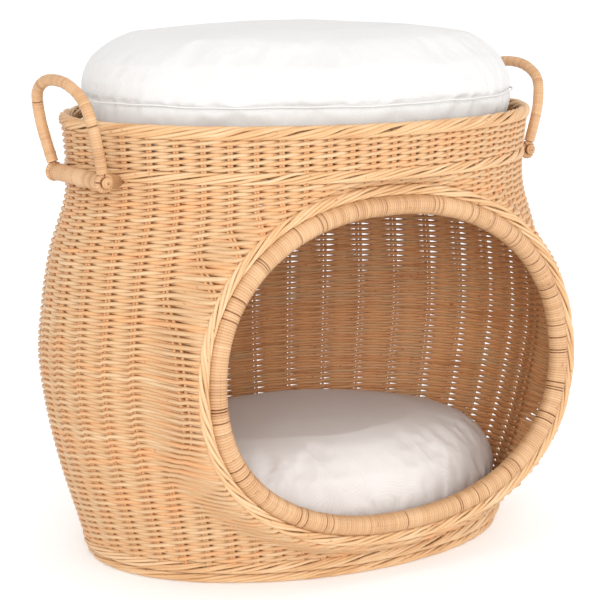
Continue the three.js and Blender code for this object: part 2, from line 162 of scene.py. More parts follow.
# ---------- the pot's outer surface ----------
def smooth(value):
    """0 up to 0, 1 from 1 on, with an even rise between."""
    value = np.clip(value, 0, 1)
    return value * value * (3 - 2 * value)


def beyond(value, start, width):
    """0 up to start, rising to 1 at start + width."""
    return smooth((value - start) / width)


def profile_slopes():
    """Slope of the profile at each key, from its two neighbours."""
    z, a = POT_HEIGHTS, POT_HALF_WIDTHS
    before = np.maximum(np.arange(len(z)) - 1, 0)
    after = np.minimum(np.arange(len(z)) + 1, len(z) - 1)
    return (a[after] - a[before]) / (z[after] - z[before])


PROFILE_SLOPES = profile_slopes()


def pot_half_width(z):
    """Half-width of the pot at a height: a cubic curve through the profile's keys."""
    z = np.clip(np.asarray(z, float), POT_HEIGHTS[0], POT_HEIGHTS[-1])
    k = np.clip(np.searchsorted(POT_HEIGHTS, z, side="right") - 1, 0, len(POT_HEIGHTS) - 2)
    span = POT_HEIGHTS[k + 1] - POT_HEIGHTS[k]
    t = (z - POT_HEIGHTS[k]) / span
    rise = (t**3 - 2 * t**2 + t) * span * PROFILE_SLOPES[k]
    run = (t**3 - t**2) * span * PROFILE_SLOPES[k + 1]
    low, high = POT_HALF_WIDTHS[k], POT_HALF_WIDTHS[k + 1]
    return low + (high - low) * smooth(t) + rise + run


def opening_plane_y(z):
    """Where the opening's plane is at a height."""
    return OPENING_Y + (z - OPENING_Z) * math.tan(OPENING_TILT)


def hoop_point(angle):
    """Points on the hoop's centre line in its own plane: across and up."""
    c, s = np.cos(angle), np.sin(angle)
    up = np.sign(s) * np.abs(s) ** HOOP_ROUNDNESS
    across = np.sign(c) * np.abs(c) ** HOOP_ROUNDNESS * (1 - HOOP_EGG * up)
    return np.stack([HOOP_HALF_WIDTH * across, HOOP_HALF_HEIGHT * up], -1)


def hoop_distance(x, z, offset):
    """1 on the hoop's line grown by offset, less inside it."""
    power = 2 / HOOP_ROUNDNESS
    up = (z - OPENING_Z) / (HOOP_HALF_HEIGHT + offset)
    across = x / (HOOP_HALF_WIDTH + offset) / (1 - HOOP_EGG * np.clip(up, -1, 1))
    distance = (np.abs(across) ** power + np.abs(up) ** power) ** (1 / power)
    return distance, across, up


def pull_to_hoop(x, y, z):
    """How strongly the wall is drawn out to the hoop's plane: 1 at the hoop, 0 away from it."""
    distance, across, up = hoop_distance(x, z, CUT_OFFSET)
    sideways = across**2 / np.maximum(across**2 + up**2, 1e-9)
    reach = FLARE_SIDEWAYS * sideways + np.where(up > 0, FLARE_ABOVE, FLARE_BELOW) * (1 - sideways)
    return (1 - smooth((distance - 1) / reach)) * smooth(-y / FLARE_DEPTH)


def wall_point(angle, z, inset):
    """Points of the wall's outer surface, moved inward by inset, at angles round the oval."""
    angle, z, inset = np.broadcast_arrays(np.asarray(angle, float), z, inset)
    a = pot_half_width(z)
    b = a * DEPTH_RATIO
    x = a * np.cos(angle)
    y = b * np.sin(angle)
    normal = np.stack([x / a**2, y / b**2], -1)
    normal /= np.linalg.norm(normal, axis=-1, keepdims=True)
    front = y + (opening_plane_y(z) - 2 * MM - y) * pull_to_hoop(x, y, z)
    return np.stack([x - normal[..., 0] * inset, front - normal[..., 1] * inset, z], -1)


def wall_stretch(angle, z):
    """How much further apart than in height two rounds lie where the wall flares, at most 1.25."""
    step = 3 * MM
    rise = np.linalg.norm(wall_point(angle, z + step, 0) - wall_point(angle, z - step, 0), axis=-1)
    return np.clip(rise / (2 * step), 1, 1.25)


def stake_angle_table():
    """Angles round the oval, and the share of the stakes up to each; they crowd at the front."""
    angle = np.linspace(0, 2 * math.pi, 2881)
    plan = np.stack([np.cos(angle), DEPTH_RATIO * np.sin(angle)], -1)
    steps = np.linalg.norm(np.diff(plan, axis=0), axis=-1)
    middle = (angle[:-1] + angle[1:]) / 2
    steps = steps / (1 + STAKE_CROWDING * np.sin(middle))
    along = np.concatenate([[0], np.cumsum(steps)])
    return angle, along / along[-1]


ANGLES, ALONG = stake_angle_table()


def angle_at(u):
    """Angle at a position counted in stake pairs round the oval."""
    turns = np.asarray(u, float) / STAKE_PAIRS
    whole = np.floor(turns)
    return np.interp(turns - whole, ALONG, ANGLES) + whole * 2 * math.pi


def opening_distance(points, offset):
    """1 on the hoop's line grown by offset, under 1 inside it; large behind the basket."""
    distance = hoop_distance(points[..., 0], points[..., 2], offset)[0]
    return np.where(points[..., 1] < 0, distance, 9.0)


# ---------- strands ----------
def unit(vectors):
    """Vectors scaled to length 1."""
    return vectors / np.maximum(np.linalg.norm(vectors, axis=-1, keepdims=True), 1e-12)


def length_along(points):
    """Distance along a path from its first point to each of its points."""
    return np.concatenate([[0], np.cumsum(np.linalg.norm(np.diff(points, axis=0), axis=-1))])


def oval_path(half_width, angle, z):
    """Points of an oval with the pot's proportions."""
    return np.stack([half_width * np.cos(angle), half_width * DEPTH_RATIO * np.sin(angle), z], -1)


class Strands:
    """Collects round strands as closed tubes and turns them into one mesh object."""

    def __init__(self, name, sides=6, strips=1, painted_light_shade=0.0):
        """Its last argument is painted light and shade: tone added to the outer side of a strand
        laid anticlockwise and taken from its inner side.
        """
        self.name = name
        self.sides = sides
        self.strips = strips
        self.painted_light_shade = painted_light_shade
        self.tubes = []

    def add(self, path, radius, tone, up=(0, 0, 1), closed=False):
        """A strand along a path; radius and tone may change along it."""
        path = np.asarray(path, float)
        count = len(path)
        if count < 3:
            return
        if closed:
            tangent = unit(np.roll(path, -1, 0) - np.roll(path, 1, 0))
        else:
            tangent = unit(np.gradient(path, axis=0))
        up = np.broadcast_to(np.asarray(up, float), path.shape)
        first = unit(up - (up * tangent).sum(-1, keepdims=True) * tangent)
        second = np.cross(tangent, first)
        turn = np.arange(self.sides) * 2 * math.pi / self.sides
        radius = np.broadcast_to(np.asarray(radius, float), (count,))[:, None, None]
        ring = np.cos(turn)[:, None] * first[:, None] + np.sin(turn)[:, None] * second[:, None]
        tone = np.broadcast_to(np.asarray(tone, float), (count,))[:, None]
        # painted light on the ring's outer side and painted shade on its inner side
        tone = tone + self.painted_light_shade * np.sin(turn)
        self.tubes.append((path[:, None] + ring * radius, tone, closed))

    def _tube_faces(self, count, closed):
        """Quads of one tube, and the ring and the side that each of their corners lies on."""
        sides = self.sides
        rows = count if closed else count - 1
        i, j = np.meshgrid(np.arange(rows), np.arange(sides), indexing="ij")
        i2 = (i + 1) % count
        j2 = (j + 1) % sides
        quads = np.stack([i * sides + j, i * sides + j2, i2 * sides + j2, i2 * sides + j], -1)
        quads = quads.reshape(-1, 4)
        corners = np.stack([
            np.stack([i, j], -1), np.stack([i, j + 1], -1),
            np.stack([i + 1, j + 1], -1), np.stack([i + 1, j], -1),
        ], -2).reshape(-1, 4, 2)
        if closed:
            return quads, corners
        fan = np.array([[0, k, k + 1, k + 2] for k in range(1, sides - 2, 2)])
        last = (count - 1) * sides
        caps = np.concatenate([fan[:, ::-1], fan + last])
        fan_corners = np.stack([np.zeros_like(fan), fan], -1)
        end_corners = np.stack([np.full_like(fan, count - 1), fan], -1)
        cap_corners = np.concatenate([fan_corners[:, ::-1], end_corners])
        return np.concatenate([quads, caps]), np.concatenate([corners, cap_corners])

    def build(self, material):
        """One mesh object of all the strands, unwrapped in strips that do not overlap."""
        vertices, faces, grain, bake, tones = [], [], [], [], []
        start = 0
        strip_count = len(self.tubes) * self.strips
        for index, (rings, tone, closed) in enumerate(self.tubes):
            count = len(rings)
            centre = rings.mean(1)
            length = length_along(np.concatenate([centre, centre[:1]]))
            quads, corners = self._tube_faces(count, closed)
            ring_index, side_index = corners[..., 0], corners[..., 1] / self.sides
            metres = length[ring_index]
            shift = rng.random(2) * 50
            grain.append(np.stack([metres + shift[0], side_index + shift[1]], -1))
            share = metres / length[count if closed else count - 1] * self.strips
            strip = np.minimum(np.floor(share[:, :1] + 1e-6), self.strips - 1)
            across = (index * self.strips + strip + 0.05 + 0.9 * side_index) / strip_count
            bake.append(np.stack([np.clip(share - strip, 0, 1), across], -1))
            vertices.append(rings.reshape(-1, 3))
            tones.append(tone.ravel())
            faces.append(quads + start)
            start += count * self.sides
        mesh = quad_mesh(self.name, np.concatenate(vertices), np.concatenate(faces))
        set_uv(mesh, "OFBake", np.concatenate(bake))
        set_uv(mesh, "Grain", np.concatenate(grain))
        tone = mesh.attributes.new("tone", "FLOAT", "POINT")
        tone.data.foreach_set("value", np.clip(np.concatenate(tones), 0, 1).astype(np.float32))
        mesh.materials.append(material)
        piece = bpy.data.objects.new(self.name, mesh)
        bpy.context.collection.objects.link(piece)
        return piece


def quad_mesh(name, vertices, quads):
    """A smooth mesh from arrays of points and of four-cornered faces."""
    mesh = bpy.data.meshes.new(name)
    mesh.vertices.add(len(vertices))
    mesh.vertices.foreach_set("co", vertices.astype(np.float32).ravel())
    mesh.loops.add(quads.size)
    mesh.loops.foreach_set("vertex_index", quads.astype(np.int32).ravel())
    mesh.polygons.add(len(quads))
    mesh.polygons.foreach_set("loop_start", np.arange(0, quads.size, 4, dtype=np.int32))
    mesh.update(calc_edges=True)
    mesh.shade_smooth()
    return mesh


def set_uv(mesh, name, values):
    layer = mesh.uv_layers.new(name=name)
    layer.data.foreach_set("uv", values.astype(np.float32).ravel())


def strand_tone(middle=STRAND_TONE):
    """One strand's tone: 0 dark, 1 pale."""
    return float(np.clip(rng.normal(middle, TONE_SPREAD), 0.05, 0.98))


def drift(count, step=14, size=0.08):
    """Slow change of tone along a strand."""
    knots = rng.normal(0, size, count // step + 2)
    return np.interp(np.arange(count), np.arange(len(knots)) * step, knots)


def kept_runs(inside):
    """Start and end of each run of samples that lie outside the opening, on a closed loop."""
    keep = ~inside
    if keep.all():
        return None
    count = len(keep)
    begin = int(np.argmax(inside))
    order = (np.arange(count) + begin) % count
    runs, current = [], []
    for k in order:
        if keep[k]:
            current.append(k)
        elif current:
            runs.append(np.array(current))
            current = []
    if current:
        runs.append(np.array(current))
    return runs


def edge_point(outside, inside, offset):
    """Where the step from outside to inside crosses the opening's oval."""
    low, high = 0.0, 1.0
    for _ in range(12):
        middle = (low + high) / 2
        point = outside + (inside - outside) * middle
        if opening_distance(point, offset) > 1:
            low = middle
        else:
            high = middle
    return outside + (inside - outside) * low


def add_clipped(strands, path, radius, tone, offset, up=(0, 0, 1)):
    """Adds a closed strand, or the lengths of it that the opening leaves."""
    inside = opening_distance(path, offset) < 1
    runs = kept_runs(inside)
    if runs is None:
        strands.add(path, radius, tone, up, closed=True)
        return
    count = len(path)
    for run in runs:
        before, after = (run[0] - 1) % count, (run[-1] + 1) % count
        first = edge_point(path[run[0]], path[before], offset)
        last = edge_point(path[run[-1]], path[after], offset)
        points = np.concatenate([[first], path[run], [last]])
        ends = np.concatenate([[run[0]], run, [run[-1]]])
        strands.add(points, radius[ends], tone[ends], up)


# ---------- weaving ----------
def weaver_positions():
    """Sample positions for a weaver, counted in stake pairs; they crowd at each pair."""
    between = np.array([0, 0.06, 0.16, 0.32, 0.5, 0.68, 0.84, 0.94])
    return (np.arange(STAKE_PAIRS)[:, None] + between).ravel()


def swap(u, strand):
    """Where a strand of a twined pair is: 1 before a stake pair, -1 behind it; and how high."""
    phase = np.pi * (u + strand)
    return np.cos(phase), np.sin(phase)


def twined_rounds(name, bottom, top, pitch, material, slackness, pieces=1):
    """Rounds of two strands that change places after every stake pair, as one or more pieces."""
    rounds = round((top - bottom) / pitch)
    step = (top - bottom) / rounds
    u = weaver_positions()
    built = []
    for piece in range(pieces):
        strands = Strands(f"{name}_{piece + 1}", painted_light_shade=WEAVE_PAINTED_LIGHT_SHADE)
        for turn in range(round(piece * rounds / pieces), round((piece + 1) * rounds / pieces)):
            level = bottom + (turn + 0.5) * step
            uneven = np.append(rng.normal(0, ROUND_UNEVENNESS, STAKE_PAIRS), 0)
            uneven = np.interp(u, np.arange(STAKE_PAIRS + 1), uneven)
            slack = slackness(level, u)
            stretch = wall_stretch(angle_at(u), level)
            radius = step * (STRAND_SHARE + SLACK_SHARE * slack) * stretch
            for strand in (0, 1):
                front, lift = swap(u, strand)
                lift = np.sign(lift) * np.abs(lift) ** (TIGHT_SWAP + SLACK_SWAP * slack)
                inset = WALL_THICKNESS / 2 - front * STRAND_SWING
                path = wall_point(angle_at(u), level + uneven + lift * step / 4, inset)
                tone = strand_tone() + drift(len(u))
                add_clipped(strands, path, radius, tone, BRAID_OFFSET)
        built.append(strands.build(material))
    return built


def body_slackness(level, u):
    """How far rounds stand apart beside the stakes: most at the back under the neck."""
    angle = angle_at(u)
    patch = np.sin(0.55 * u + level / (21 * MM)) * np.sin(0.23 * u - level / (34 * MM))
    low = 1 - beyond(level, 55 * MM, 80 * MM)
    back = beyond(np.sin(angle), -0.25, 0.5)
    right = beyond(np.cos(angle), 0.75, 0.2)
    high = beyond(level, 225 * MM, 40 * MM) * (BODY_NECK_SLACK + BODY_BACK_SLACK * back)
    slack = high + BODY_LOW_SLACK * low + BODY_RIGHT_SLACK * right
    return np.clip(slack + BODY_PATCH_SLACK * np.maximum(patch - 0.35, 0), 0, 1)


def collar_slackness(_level, u):
    """The collar is equally slack all over."""
    return np.full(len(u), COLLAR_SLACK)


def build_stakes(material):
    """Pairs of stakes that run from the lower wale to the rim."""
    strands = Strands("stakes")
    samples = 44
    heights = np.linspace(LOWER_WALE[0], RIM_BOTTOM + 4 * MM, samples)
    for pair in range(STAKE_PAIRS):
        for side in (-1, 1):
            angle = angle_at(np.full(samples, pair + side * STAKE_SPREAD / STAKE_SPACING))
            path = wall_point(angle, heights, WALL_THICKNESS / 2)
            outward = unit(path * (1, 1, 0))
            tone = np.full(samples, strand_tone(STAKE_TONE))
            inside = opening_distance(path, BRAID_OFFSET) < 1
            if not inside.any():
                strands.add(path, STAKE_RADIUS, tone, outward)
                continue
            gone = np.flatnonzero(inside)
            lower, upper = np.arange(gone[0]), np.arange(gone[-1] + 1, samples)
            bottom_end = edge_point(path[gone[0] - 1], path[gone[0]], BRAID_OFFSET)
            top_end = edge_point(path[gone[-1] + 1], path[gone[-1]], BRAID_OFFSET)
            low_path = np.concatenate([path[lower], [bottom_end]])
            high_path = np.concatenate([[top_end], path[upper]])
            strands.add(low_path, STAKE_RADIUS, tone[0], unit(low_path * (1, 1, 0)))
            strands.add(high_path, STAKE_RADIUS, tone[0], unit(high_path * (1, 1, 0)))
    return strands.build(material)


def wander(samples, knots, size):
    """Slow random change round a closed line."""
    values = rng.normal(0, size, knots)
    place = np.arange(samples) * knots / samples
    return np.interp(place, np.arange(knots + 1), np.append(values, values[0]))


def rope(strands, centre, first, second, size, count, turns, radius):
    """Rods laid in pairs round a closed centre line; size is the rope's half-extent both ways."""
    samples = len(centre)
    lap = np.arange(samples) / samples
    for k in range(count):
        place = (k - ROD_PAIRING * (k % 2)) / count
        turn = 2 * np.pi * (turns * lap + place) + wander(samples, turns * 5, ROD_WANDER)
        reach = 1 - np.abs(wander(samples, turns * 7, ROD_DIP))
        sway = (reach * (size[0] - radius) * np.cos(turn))[:, None] * first
        lift = (reach * (size[1] - radius) * np.sin(turn))[:, None] * second
        tone = strand_tone() + drift(samples, 16)
        strands.add(centre + sway + lift, radius, tone, closed=True)


def ring_rope(name, z, inset, size, count, turns, radius, material):
    """A rope that follows the wall at one height."""
    samples = STAKE_PAIRS * 12
    angle = angle_at(np.arange(samples) * STAKE_PAIRS / samples)
    centre = wall_point(angle, z, inset)
    outward = unit(wall_point(angle, z, inset - MM) - centre)
    strands = Strands(name)
    rope(strands, centre, outward, np.array([[0, 0, 1.0]]), size, count, turns, radius)
    return strands.build(material)


# ---------- the front opening ----------
def hoop_frame(count, offset=0.0, forward=0.0):
    """Even points on the hoop's line, the way outward in its plane and the way out of the plane."""
    fine = hoop_point(np.linspace(0, 2 * np.pi, 4001))
    length = length_along(fine)
    even = np.arange(count) * length[-1] / count
    flat = np.stack([np.interp(even, length, fine[:, axis]) for axis in (0, 1)], -1)
    along = unit(np.roll(flat, -3, 0) - np.roll(flat, 3, 0))
    normal = np.stack([along[:, 1], -along[:, 0]], -1)
    flat = flat + normal * offset
    up = np.array([0, math.sin(OPENING_TILT), math.cos(OPENING_TILT)])
    out = np.array([0, -math.cos(OPENING_TILT), math.sin(OPENING_TILT)])
    across = np.array([1.0, 0, 0])
    middle = np.array([0, OPENING_Y, OPENING_Z])
    centre = middle + flat[:, :1] * across + flat[:, 1:] * up + forward * out
    return centre, normal[:, :1] * across + normal[:, 1:] * up, out


def peel_profile(turns, radius, groove=0.42 * MM, split=0.12, shade=0.3):
    """Radius and tone along a tube wound with peel; here and there two turns stand apart."""
    samples = len(PEEL_SHAPE)
    shape = np.tile(PEEL_SHAPE, turns)
    at_groove = shape == 1.0
    depth = shape * np.repeat(rng.uniform(0.6, 1.25, turns), samples) * groove
    opened = np.repeat(rng.random(turns) < split, samples) * at_groove
    opened = np.maximum(opened, np.roll(opened, 1) * 0.8)
    swell = np.repeat(rng.normal(0, 0.07 * MM, turns), samples)
    tone = np.repeat(np.clip(rng.normal(0.62, 0.07, turns), 0, 1), samples)
    # the grooves between turns and the gaps where two turns stand apart are darkened: painted shade
    tone = tone - at_groove * shade - opened * PEEL_GAP_SHADE + drift(turns * samples, 60, 0.05)
    return radius - depth - opened * PEEL_GAP_DEPTH + swell, tone


def build_hoop_wrap(material):
    """The peel wound round the hoop's cane."""
    strands = Strands("hoop_wrap", sides=16, strips=8)
    centre, _, out = hoop_frame(HOOP_TURNS * len(PEEL_SHAPE))
    radius, tone = peel_profile(HOOP_TURNS, HOOP_RADIUS)
    strands.add(centre, radius, tone, up=out, closed=True)
    return strands.build(material)


def build_braid(material):
    """The rope of long rods that covers the wall's ends round the hoop."""
    strands = Strands("opening_rope")
    samples = 720
    centre, outward, out = hoop_frame(samples, BRAID_OFFSET, OPENING_ROPE_FORWARD)
    rope(strands, centre, outward, out[None], *OPENING_ROPE)
    return strands.build(material)


# ---------- handles ----------
def smooth_curve(keys, count):
    """Catmull-Rom curve through the keys, sampled evenly by length."""
    keys = np.asarray(keys, float)
    padded = np.concatenate([[2 * keys[0] - keys[1]], keys, [2 * keys[-1] - keys[-2]]])
    dense = []
    for k in range(len(keys) - 1):
        p0, p1, p2, p3 = padded[k:k + 4]
        t = np.linspace(0, 1, 40, endpoint=False)[:, None]
        dense.append(0.5 * (2 * p1 + (p2 - p0) * t + (2 * p0 - 5 * p1 + 4 * p2 - p3) * t**2
                            + (3 * p1 - p0 - 3 * p2 + p3) * t**3))
    dense = np.concatenate(dense + [keys[-1:]])
    length = length_along(dense)
    even = np.linspace(0, length[-1], count)
    return np.stack([np.interp(even, length, dense[:, axis]) for axis in range(dense.shape[1])], -1)


def handle_path(count):
    """The bent loop in its own plane: along the bar, and away from it."""
    half = np.array([[1, 9], [1.06, 28], [1.08, 50], [0.94, 74], [0.52, 86.5]])
    half = half * (HANDLE_HALF_SPAN, MM)
    keys = np.concatenate([half, [[0, HANDLE_HEIGHT]], (half * (-1, 1))[::-1]])
    keys[:, 0] += HANDLE_SKEW * (keys[:, 1] - EYE_RADIUS)
    return smooth_curve(keys, count)


def build_handle(name, side, y, lean, material):
    """The wound loop with a wound eye at each foot."""
    pivot = np.array([side * HANDLE_X, y, HANDLE_Z])
    along = np.array([0, 1.0, 0])
    away = np.array([side * math.sin(lean), 0, math.cos(lean)])
    facing = np.cross(along, away)
    strands = Strands(f"{name}_handle_wound_loop", sides=12, strips=3)
    flat = handle_path(HANDLE_TURNS * len(PEEL_SHAPE))
    radius, tone = peel_profile(HANDLE_TURNS, HANDLE_RADIUS, 0.25 * MM, split=0.03, shade=0.16)
    path = pivot + flat[:, :1] * along + flat[:, 1:] * away
    strands.add(path, radius, tone, up=facing)
    for end in (-1, 1):
        count = EYE_TURNS * len(PEEL_SHAPE)
        ring = np.arange(count) * 2 * np.pi / count
        centre = pivot + end * HANDLE_HALF_SPAN * along
        loop = centre + EYE_RADIUS * (np.cos(ring)[:, None] * facing + np.sin(ring)[:, None] * away)
        radius, tone = peel_profile(EYE_TURNS, EYE_PEEL_RADIUS, 0.3 * MM)
        strands.add(loop, radius, tone, up=along, closed=True)
    return strands.build(material)


def build_bar_ends(name, side, middle, material):
    """A little coil of peel that closes each end of the bar."""
    strands = Strands(f"{name}_handle_bar_coils", sides=8, strips=2)
    samples = 60
    turn = np.linspace(0, 5 * np.pi, samples)
    reach = np.linspace(4.6 * MM, 0.3 * MM, samples)
    bulge = np.linspace(-1.2, 1.4, samples) * MM
    for end in (-1, 1):
        y = middle + end * (HANDLE_HALF_SPAN + BAR_OVERHANG + bulge)
        path = np.stack([side * HANDLE_X + reach * np.cos(turn), y,
                         HANDLE_Z + reach * np.sin(turn)], -1)
        strands.add(path, 1.5 * MM, 0.6 + drift(samples), up=(0, 1, 0))
    return strands.build(material)


def build_lashing(name, side, middle, material):
    """The roll of peel that binds the bar to the wall between the two eyes."""
    half = HANDLE_HALF_SPAN - LASHING_END
    y = middle + np.linspace(-half, half, LASHING_TURNS * len(PEEL_SHAPE))
    radius, tone = peel_profile(LASHING_TURNS, LASHING_RADIUS, 0.4 * MM, split=0.06, shade=0.2)
    centre = np.stack([np.full(len(y), side * HANDLE_X), y, np.full(len(y), HANDLE_Z)], -1)
    strands = Strands(f"{name}_handle_roll", sides=16)
    strands.add(centre, radius, tone, up=(side, 0, 0))
    rings = strands.tubes[0][0]
    half_width = pot_half_width(HANDLE_Z)
    wall_x = half_width * np.sqrt(1 - (y / (half_width * DEPTH_RATIO)) ** 2) - LASHING_BITE
    inward = np.clip(-(rings[..., 0] - side * HANDLE_X) * side / radius[:, None], 0, 1)
    reach = (HANDLE_X - wall_x)[:, None] - radius[:, None]
    rings[..., 0] -= side * smooth(inward) * reach
    return strands.build(material)


# ---------- woven base and shelf ----------
def woven_oval(name, z, half_width, thickness, material):
    """Oval mat: straight crossed sticks in the middle, then weavers round radial sticks."""
    strands = Strands(name)
    swing = thickness / 2 - MAT_WEAVER_RADIUS
    core = CORE_SHARE * half_width
    reach = core * 1.25
    for k in range(-5, 6):
        y = k * core * DEPTH_RATIO / 6
        x = np.linspace(-1, 1, 60) * reach
        wave = np.cos(np.pi * (x / (7 * MM) + k))
        path = np.stack([x, np.full(60, y), z + swing * 0.5 * wave], -1)
        strands.add(path, MAT_STICK_RADIUS, strand_tone())
    for k in range(-12, 13):
        x = k * core / 13
        y = np.linspace(-1, 1, 40) * reach * DEPTH_RATIO
        wave = np.cos(np.pi * (y / (9.3 * MM) + k))
        path = np.stack([np.full(40, x), y, z - swing * 0.5 * wave], -1)
        strands.add(path, MAT_STICK_RADIUS, strand_tone())
    for angle in angle_at(np.arange(STAKE_PAIRS)):
        share = np.linspace(CORE_SHARE * 0.85, 0.995, 20)[:, None]
        edge = half_width * np.array([math.cos(angle), DEPTH_RATIO * math.sin(angle), 0])
        strands.add(share * edge + (0, 0, z), 1.5 * MM, strand_tone(STAKE_TONE))
    rows = round((half_width - core) / MAT_ROW_WIDTH)
    u = np.arange(STAKE_PAIRS * 4) / 4
    angle = angle_at(u)
    for row in range(rows):
        reach = core + (half_width - core) * (row + 0.5) / rows
        path = oval_path(reach, angle, z + swing * swap(u, row)[0])
        strands.add(path, MAT_WEAVER_RADIUS, strand_tone() + drift(len(u)), closed=True)
    return strands.build(material)


# ---------- materials ----------
class Shader:
    """A material with a few short ways to add nodes."""

    def __init__(self, name, roughness, specular=0.4):
        self.material = bpy.data.materials.new(name)
        self.material.use_nodes = True
        self.tree = self.material.node_tree
        self.surface = self.tree.nodes["Principled BSDF"]
        self.surface.inputs["Roughness"].default_value = roughness
        self.surface.inputs["Specular IOR Level"].default_value = specular

    def node(self, kind, **settings):
        made = self.tree.nodes.new(kind)
        for key, value in settings.items():
            setattr(made, key, value)
        return made

    def link(self, source, target):
        self.tree.links.new(source, target)

    def mapped(self, source, scale):
        mapping = self.node("ShaderNodeMapping")
        mapping.inputs["Scale"].default_value = scale
        self.link(source, mapping.inputs["Vector"])
        return mapping.outputs["Vector"]

    def noise(self, vector, scale, detail, roughness):
        made = self.node("ShaderNodeTexNoise")
        made.inputs["Scale"].default_value = scale
        made.inputs["Detail"].default_value = detail
        made.inputs["Roughness"].default_value = roughness
        self.link(vector, made.inputs["Vector"])
        return made.outputs["Fac"]

    def maths(self, operation, first, second):
        made = self.node("ShaderNodeMath", operation=operation)
        for socket, value in zip(made.inputs, (first, second)):
            if isinstance(value, (int, float)):
                socket.default_value = value
            else:
                self.link(value, socket)
        return made.outputs["Value"]

    def ramp(self, factor, stops):
        made = self.node("ShaderNodeValToRGB")
        elements = made.color_ramp.elements
        while len(elements) < len(stops):
            elements.new(0.5)
        for element, (place, colour) in zip(elements, stops):
            element.position = place
            element.color = (*colour, 1)
        self.link(factor, made.inputs["Fac"])
        return made.outputs["Color"]

    def bump(self, height, strength, distance):
        made = self.node("ShaderNodeBump")
        made.inputs["Strength"].default_value = strength
        made.inputs["Distance"].default_value = distance
        self.link(height, made.inputs["Height"])
        self.link(made.outputs["Normal"], self.surface.inputs["Normal"])


def rattan(name, stops, roughness=0.5, fibre=(70, 9, 1), speckle=0.5):
    """Rattan core or peel: tone from strand to strand, long fibres, faint darker flecks."""
    shader = Shader(name, roughness)
    tone = shader.node("ShaderNodeAttribute", attribute_name="tone").outputs["Fac"]
    grain = shader.node("ShaderNodeUVMap", uv_map="Grain").outputs["UV"]
    fibres = shader.noise(shader.mapped(grain, fibre), 1.0, 4.0, 0.65)
    place = shader.node("ShaderNodeTexCoord").outputs["Object"]
    blotch = shader.noise(place, 26.0, 2.0, 0.5)
    mixed = tone
    for noise, share in ((fibres, 0.55), (blotch, 0.45)):
        uneven = shader.maths("MULTIPLY", shader.maths("SUBTRACT", noise, 0.5), share)
        mixed = shader.maths("ADD", mixed, uneven)
    flecks = shader.noise(shader.mapped(grain, (160, 3, 1)), 1.0, 1.0, 0.5)
    flecks = shader.maths("MULTIPLY", shader.maths("GREATER_THAN", flecks, 0.72), -speckle)
    mixed = shader.maths("ADD", mixed, flecks)
    colour = shader.ramp(mixed, stops)
    shader.link(colour, shader.surface.inputs["Base Color"])
    rough = shader.maths("ADD", roughness - 0.1, shader.maths("MULTIPLY", fibres, 0.2))
    shader.link(rough, shader.surface.inputs["Roughness"])
    shader.bump(fibres, 0.35, 0.15 * MM)
    return shader.material


def cloth(name, light, shade, thread, slub=0.4):
    """Plain-woven cloth: crossed threads in bump and colour, with slubs and faint unevenness. The
    colour follows the height of the threads, painted shade in the hollows and painted light on the
    raised threads and slubs, over the cloth's own uneven tone.
    """
    shader = Shader(name, 0.92, 0.25)
    shader.surface.inputs["Sheen Weight"].default_value = 0.15
    shader.surface.inputs["Sheen Roughness"].default_value = 0.6
    place = shader.node("ShaderNodeTexCoord").outputs["Object"]
    waves = []
    for direction in ("X", "Y"):
        wave = shader.node("ShaderNodeTexWave", wave_type="BANDS", bands_direction=direction)
        wave.inputs["Scale"].default_value = 1 / (2 * thread)
        wave.inputs["Distortion"].default_value = 1.4
        wave.inputs["Detail"].default_value = 2
        wave.inputs["Detail Scale"].default_value = 3
        shader.link(place, wave.inputs["Vector"])
        waves.append(wave.outputs["Fac"])
    threads = shader.maths("MULTIPLY", shader.maths("ADD", waves[0], waves[1]), 0.5)
    slubs = shader.noise(shader.mapped(place, (60, 900, 60)), 1.0, 2.0, 0.5)
    cross_slubs = shader.noise(shader.mapped(place, (900, 60, 60)), 1.0, 2.0, 0.5)
    uneven = shader.noise(place, 14.0, 3.0, 0.55)
    slub_mix = shader.maths("MULTIPLY", shader.maths("ADD", slubs, cross_slubs), slub)
    height = shader.maths("ADD", threads, slub_mix)
    height_share = shader.maths("MULTIPLY", height, 0.45)
    factor = shader.maths("ADD", height_share, shader.maths("MULTIPLY", uneven, 0.3))
    # colour by thread height: painted shade in the hollows, painted light on the tops; the
    # unevenness is the cloth's own tone
    colour = shader.ramp(factor, [(0.15, shade), (0.75, light)])
    shader.link(colour, shader.surface.inputs["Base Color"])
    shader.bump(height, 0.5, 0.12 * MM)
    return shader.material


# ---------- cushions ----------
def oval_shell(name, profile):
    """Closed oval solid from a profile that starts and ends on the axis."""
    segments = 160
    turn = np.arange(segments) * 2 * np.pi / segments
    rings = profile[1:-1]
    vertices = np.stack([
        rings[:, :1] * np.cos(turn), rings[:, :1] * DEPTH_RATIO * np.sin(turn),
        np.broadcast_to(rings[:, 1:], (len(rings), segments)),
    ], -1).reshape(-1, 3)
    vertices = np.concatenate([vertices, [[0, 0, profile[0, 1]], [0, 0, profile[-1, 1]]]])
    faces = []
    for ring in range(0, (len(rings) - 1) * segments, segments):
        for s in range(segments):
            t = (s + 1) % segments
            faces.append((ring + s, ring + t, ring + segments + t, ring + segments + s))
    low, high = len(vertices) - 2, len(vertices) - 1
    top = (len(rings) - 1) * segments
    for s in range(segments):
        t = (s + 1) % segments
        faces.append((low, t, s))
        faces.append((high, top + s, top + t))
    mesh = bpy.data.meshes.new(name)
    mesh.from_pydata(vertices.tolist(), [], faces)
    piece = bpy.data.objects.new(name, mesh)
    bpy.context.collection.objects.link(piece)
    return piece


def vertex_array(mesh):
    """A mesh's points, one row each."""
    flat = np.empty(len(mesh.vertices) * 3, np.float32)
    mesh.vertices.foreach_get("co", flat)
    return flat.reshape(-1, 3).astype(float)


def bake_modifiers(piece):
    """Replaces a piece's mesh by what its modifiers make of it."""
    graph = bpy.context.evaluated_depsgraph_get()
    made = bpy.data.meshes.new_from_object(piece.evaluated_get(graph))
    piece.modifiers.clear()
    piece.data = made


